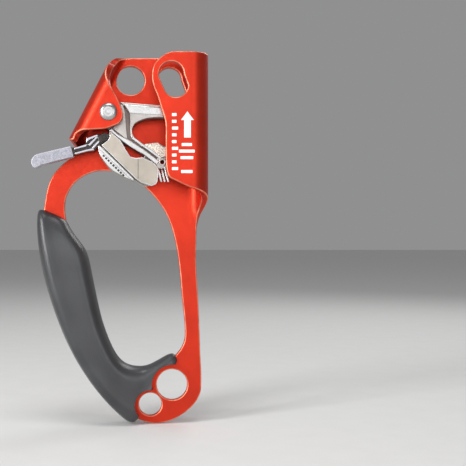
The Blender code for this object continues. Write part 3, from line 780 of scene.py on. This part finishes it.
def by_flange(t, out):
    """A point (t along the catch's lower edge, out from it)."""
    along = (FLANGE_END - FLANGE_START).normalized()
    return tuple(FLANGE_START + along * t + Vector((along.y, -along.x)) * out)


def catch_face():
    top = [(-40.4, 16.6), (-39.4, 16.2), (-34.8, 12.2), (-32.7, 8.4), (-29.8, 3.8), (-27.2, 3.1)]
    top.append((-23.4, 3.4))
    lobe = circle((-21.8, -4.4), 6.4, 62, -15, 14) + [(-15.9, -8.7), (-16.8, -10.3), (-19.0, -11.2)]
    foot = [(-24.4, -9.4), tuple(FLANGE_END)]
    notch = [tuple(FLANGE_START), (-41.5, 12.1), (-40.4, 13.8)]
    return top + lobe + foot + notch


def shrunk(outline, inset):
    """The outline, moved in towards its own inside."""
    outline = without_repeats(outline)
    if area(outline) < 0:
        outline = outline[::-1]
    return [(x - n.x * inset * m, z - n.y * inset * m) for (x, z), (n, m) in zip(outline, outward(outline))]


def split_at(outline, x, side):
    """The part of the outline to the left (-1) or the right (1) of X."""
    made = []
    for a, b in zip(outline, outline[1:] + outline[:1]):
        if (a[0] - x) * side >= 0:
            made.append(a)
        if (a[0] - x) * (b[0] - x) < 0:
            made.append((x, a[1] + (b[1] - a[1]) * (x - a[0]) / (b[0] - a[0])))
    return made


def catch_body(steel, bright, dark):
    face = filleted(catch_face(), 0.5, 3)
    # The base slab is bright steel, so a near-white rim shows round the raised face: partly edge wear, partly
    # a painted highlight.
    bm = rounded_slab([face], -5.75, CHEEK_REAR, 0.3, bm=new_bmesh(), look=1)
    inner = shrunk(face, 0.55)
    rounded_slab([split_at(inner, FACE_SPLIT - 0.05, -1)], -6.0, -5.5, 0.04, 1, bm=bm)
    rounded_slab([split_at(inner, FACE_SPLIT + 0.05, 1)], -6.15, -5.5, 0.04, 1, bm=bm)
    # A thin near-black strip where the face's two levels meet: a painted shadow line along the step.
    line = split_at(split_at(inner, FACE_SPLIT - 0.1, 1), FACE_SPLIT + 0.15, -1)
    rounded_slab([line], -6.17, -5.6, 0.02, 1, bm=bm, look=2)
    rear_top = [(-41.2, 17.0), (-34.8, 12.2), (-32.7, 8.4), (-29.8, 3.8), (-27.2, 3.1), (-23.4, 3.4)]
    rear_foot = [(-27.4, -7.6), (-45.2, 9.6), (-45.6, 12.6), (-44.4, 16.0)]
    rear = rear_top + circle((-21.8, -4.4), 6.4, 62, -100, 24) + rear_foot
    rounded_slab([filleted(rear, 0.5, 3), circle(LEVER_RIVET, 1.4, steps=24)], *REAR_CHEEK, 0.3, bm=bm)
    edge = [(0.2, 2.3), (1.6, 3.4), (3.4, 4.2), (8, 5.0), (12.7, 5.2), (17, 4.2), (21.4, 2.7), (24.4, 1.2)]
    outer = [by_flange(*point) for point in edge]
    web = smooth(outer, 5) + [by_flange(24.4, 0.7), by_flange(0, 0.7)]
    rounded_slab([web], CHEEK_REAR, REAR_CHEEK[1], 0.5, bm=bm)
    rounded_slab([shrunk(web, 0.1)], -5.2, -4.4, 0.35, bm=bm, look=1)
    # The flange lip is bright steel with near-white rounded edges: partly edge wear, partly a painted
    # highlight.
    edge = [(-0.6, 0.5), (24.0, 0.5), (24.6, 1.2), (23.6, 1.9), (2.0, 2.2), (0.6, 2.6), (-0.9, 1.6)]
    lip = [by_flange(*point) for point in edge]
    rounded_slab([filleted(lip, 0.5)], -6.1, -4.6, 0.5, bm=bm, look=1)
    # Near-black dashes along the flange: painted shade standing in for notches.
    for i in range(DASHES):
        start = DASH_START + i * DASH_STEP
        end = start + DASH_LENGTH
        dash = [by_flange(start, 2.5), by_flange(end, 2.5), by_flange(end, 3.5), by_flange(start, 3.5)]
        rounded_slab([dash], -5.26, -5.1, 0.02, 1, bm=bm, look=2)
    add_piece("catch_shell", bm, [steel, bright, dark], "catch", "catch_body", slot="bright_steel")


def catch_lever(chrome, dark):
    end = circle(LEVER_RIVET, 2.3, 80, -70, 16)
    lower = [(-46.2, 9.6), (-48.2, 7.2), (-52.1, 6.6), (-58.1, 5.0)]
    upper = [(-58.4, 8.5), (-53.0, 10.1), (-52.2, 13.4), (-46.6, 15.4)]
    # The lever's body is near-black steel, so it shows dark between the chrome rails: painted shade in the
    # pocket.
    bm = rounded_slab([filleted(end + lower + upper, 0.5, 3)], -3.2, 4.7, 0.4, bm=new_bmesh(), look=1)
    tongue = [(-57.4, 5.3), (-66.2, 3.2), (-66.2, 5.8), (-57.4, 7.9)]
    rounded_slab([filleted(tongue, 0.4, 3)], -2.3, 2.7, 0.3, bm=bm)
    top_rail = [(-58.4, 8.6), (-58.6, 7.5), (-52.4, 9.1), (-51.2, 10.6), (-52.6, 10.4)]
    low_rail = [(-58.0, 5.0), (-58.3, 6.1), (-52.2, 7.8), (-48.8, 8.4), (-48.0, 7.3), (-52.1, 6.6)]
    block_top = [(-52.3, 13.5), (-46.8, 15.5), (-46.0, 14.5), (-51.0, 12.5), (-52.6, 10.3)]
    upper_diagonal = [(-51.6, 10.2), (-47.0, 14.6), (-45.9, 14.2), (-50.6, 9.2)]
    lower_diagonal = [(-49.8, 8.6), (-45.7, 12.9), (-44.9, 11.9), (-48.6, 8.0)]
    for strip in (top_rail, low_rail, block_top, upper_diagonal, lower_diagonal):
        rounded_slab([filleted(strip, 0.35, 3)], -4.3, -3.0, 0.4, bm=bm)
    # The rounded cap at the lever's head is near-black steel: painted shade.
    cap = circle((-43.0, 14.1), 2.1, 105, -75, 16) + [(-45.8, 10.9), (-46.9, 14.4)]
    rounded_slab([filleted(cap, 0.4, 3)], -4.6, -3.0, 0.6, bm=bm, look=1)
    add_piece("lever_arm", bm, [chrome, dark], "catch", "catch_lever", slot="polished_steel")


def thumb_tab(look, dark):
    end = [(-76.3, 5.5), (-78.6, 4.7), (-80.3, 2.4), (-80.3, 0.0), (-79.0, -1.6), (-77.2, -1.4)]
    end.append((-75.4, -0.3))
    outline = [(-60.1, 9.4), *smooth(end, 6), (-58.8, 4.0)]
    bm = rounded_slab([filleted(outline, 0.6, 4)], -5.0, 3.4, 0.55, bm=new_bmesh())
    # A near-black strip where the tab meets the lever: a painted shadow gap.
    step = [(-60.0, 8.6), (-59.0, 4.6), (-57.6, 5.0), (-58.4, 8.7)]
    rounded_slab([filleted(step, 0.3, 3)], -4.2, 3.0, 0.3, bm=bm, look=1)
    add_piece("thumb_pad", bm, [look, dark], "catch", "thumb_tab", slot="tab_grey")


# --- The floor, the light and the camera --------------------------------------------------------------------


def area_light(name, place, aim, size, power):
    data = bpy.data.lights.new(name, "AREA")
    data.shape = "RECTANGLE"
    data.size, data.size_y = size
    data.energy = power
    light = bpy.data.objects.new(name, data)
    light.location = place
    light.rotation_euler = (Vector(aim) - Vector(place)).to_track_quat("-Z", "Y").to_euler()
    bpy.context.scene.collection.objects.link(light)


def studio():
    bm = bmesh.new()
    bmesh.ops.create_grid(bm, x_segments=1, y_segments=1, size=6)
    mesh = bpy.data.meshes.new("floor")
    bm.to_mesh(mesh)
    bm.free()
    mesh.materials.append(surface("floor_paint", (0.74, 0.74, 0.73), 0.85, 0.0, patch=0.01))
    floor = bpy.data.objects.new("floor", mesh)
    floor.location.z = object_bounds()[0][2] - 0.0002
    bpy.context.scene.collection.objects.link(floor)
    floor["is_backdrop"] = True
    world = bpy.data.worlds.new("studio")
    world.use_nodes = True
    world.node_tree.nodes["Background"].inputs["Color"].default_value = (0.82, 0.82, 0.83, 1)
    world.node_tree.nodes["Background"].inputs["Strength"].default_value = 0.34
    bpy.context.scene.world = world
    middle = (CAMERA_TARGET[0] * MM, 0, CAMERA_TARGET[1] * MM)
    area_light("front", (-0.10, -0.95, 0.15), middle, (0.6, 0.5), 1.9)
    area_light("left_key", (-0.75, -0.55, 0.12), middle, (0.22, 0.9), 11)
    area_light("right_fill", (0.45, -0.8, 0.1), middle, (0.35, 0.6), 1.5)
    area_light("top", (0.0, -0.25, 0.9), middle, (0.5, 0.3), 3)
    area_light("back_rim", (0.35, 0.6, 0.5), middle, (0.4, 0.5), 1.6)
    bpy.context.scene.view_settings.view_transform = "Standard"


def camera():
    data = bpy.data.cameras.new("camera")
    data.sensor_width = 36
    data.lens = 36 * CAMERA_DISTANCE / PICTURE_WIDTH
    data.shift_x, data.shift_y = PICTURE_SHIFT
    data.clip_start = 0.01
    data.clip_end = 50
    made = bpy.data.objects.new("camera", data)
    made.location = (CAMERA_TARGET[0] * MM, -CAMERA_DISTANCE * MM, CAMERA_TARGET[1] * MM)
    made.rotation_euler = (math.pi / 2, 0, 0)
    bpy.context.scene.collection.objects.link(made)
    bpy.context.scene.camera = made


def build():
    # Each material's lighter edge colour brightens its rounded edges: partly edge wear, partly a painted
    # highlight along the edges.
    red = surface("anodised_red", (0.56, 0.030, 0.010), 0.38, 0.75, 0.10, 2500, 0.08, wear_and_highlight=(1.0, 0.36, 0.22))
    rubber = surface("grip_rubber", (0.040, 0.041, 0.044), 0.33, 0.0, 0.30, 1800, 0.14)
    wear_and_highlight = (0.85, 0.84, 0.82)
    cast = surface("cast_steel", (0.40, 0.38, 0.36), 0.36, 0.9, 0.4, 1500, 0.12, wear_and_highlight=wear_and_highlight)
    sandy = surface("cast_sand_finish", (0.62, 0.58, 0.51), 0.55, 0.5, 1.0, 1200, 0.50, patch_scale=1500)
    wear_and_highlight = (0.95, 0.95, 0.94)
    bright = surface("bright_steel", (0.44, 0.44, 0.44), 0.28, 0.95, 0.08, 2500, 0.08, wear_and_highlight=wear_and_highlight)
    wear_and_highlight = (0.60, 0.56, 0.51)
    steel = surface("brushed_steel", (0.40, 0.36, 0.31), 0.40, 0.85, 0.2, 2200, 0.10, wear_and_highlight=wear_and_highlight)
    wear_and_highlight = (0.95, 0.95, 1)
    chrome = surface("polished_steel", (0.36, 0.36, 0.40), 0.14, 1.0, 0.05, 2500, 0.05, 0.03, wear_and_highlight=wear_and_highlight)
    # A darker reddish-brown copy of the cast steel for the cam's recessed web: painted shade with a painted
    # reflection of the red plate.
    wear_and_highlight = (0.55, 0.52, 0.5)
    shaded_cast = surface("cast_painted_shade", (0.22, 0.175, 0.16), 0.48, 0.8, 0.5, 1500, 0.15, wear_and_highlight=wear_and_highlight)
    # A near-black steel, used only as painted shade: the lever's pocket and head, the lever pin, the catch's
    # step line and notches, and the gap at the tab's end.
    wear_and_highlight = (0.16, 0.15, 0.14)
    dark = surface("painted_shade_steel", (0.03, 0.026, 0.024), 0.30, 0.6, 0.2, 2000, 0.2, wear_and_highlight=wear_and_highlight)
    wear_and_highlight = (0.55, 0.55, 0.6)
    grey = surface("tab_grey", (0.33, 0.33, 0.38), 0.5, 0.1, 0.6, 1600, 0.14, patch_scale=900, wear_and_highlight=wear_and_highlight)
    bronze = surface("bush_bronze", (0.60, 0.40, 0.20), 0.35, 1.0, 0.2, 2000, 0.1)
    white = surface("printed_white", (0.90, 0.89, 0.87), 0.5, 0.0, 0.1, 2500, 0.02)
    frame_plate(red)
    printed_marks(white)
    grip(rubber)
    cam(cast, sandy, bright, shaded_cast)
    round_parts(bright, bronze, dark)
    catch_body(steel, bright, dark)
    catch_lever(chrome, dark)
    thumb_tab(grey, dark)


build()
camera()
studio()
